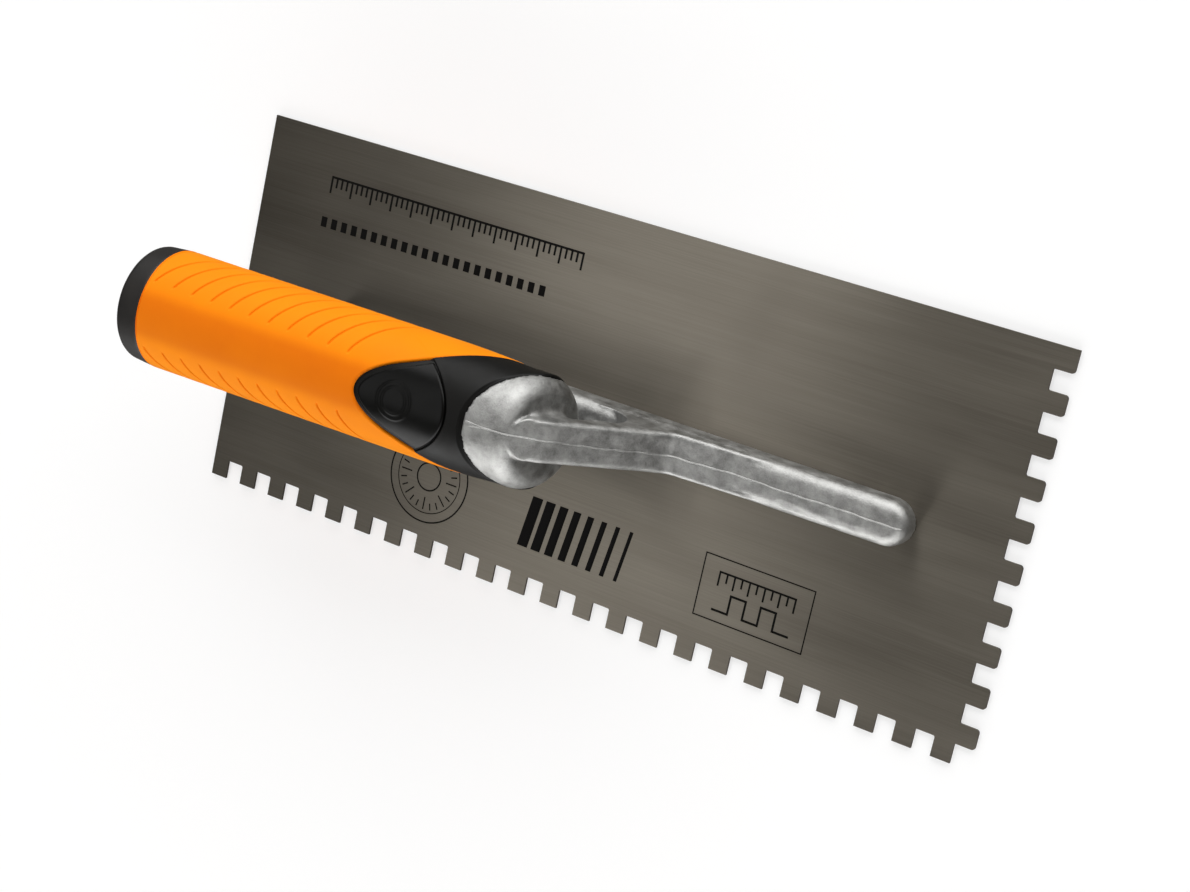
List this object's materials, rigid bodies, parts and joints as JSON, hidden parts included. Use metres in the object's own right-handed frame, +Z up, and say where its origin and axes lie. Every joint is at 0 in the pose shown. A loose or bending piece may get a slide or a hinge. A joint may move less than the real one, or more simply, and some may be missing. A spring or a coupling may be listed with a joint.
{
  "type": "notched trowel",
  "caption": "Notched adhesive trowel: thin steel blade with square notches along one long and one short edge, cast bracket, round cushioned handle.",
  "frame": {"origin": "centre of the blade's working face, which is the middle of the base of the whole trowel's box", "axes": "+X from the plain short edge to the notched one, +Y from the notched long edge to the plain one, +Z up from the working face to the handle"},
  "size_m": [0.276, 0.1206, 0.0636],
  "materials": {
    "blade_steel": null,
    "rivet_steel": "ground flush",
    "cast_aluminium": "tumbled die casting with a fine grain",
    "black_plastic": "satin moulding",
    "orange_grip": "matte soft-touch moulding",
    "gloss_insert": "semi-gloss moulding",
    "black_rubber": "matte moulding",
    "zinc_steel": "zinc plated"
  },
  "bodies": {
    "root": {"blade": "blade_steel", "blade_rivets": "rivet_steel", "bracket": "cast_aluminium", "handle_core": "black_plastic", "grip_sleeve": "orange_grip", "thumb_pad": "gloss_insert", "end_cap": "black_rubber", "tang_washer": "zinc_steel", "tang_screw": "zinc_steel"}
  },
  "joints": []
}
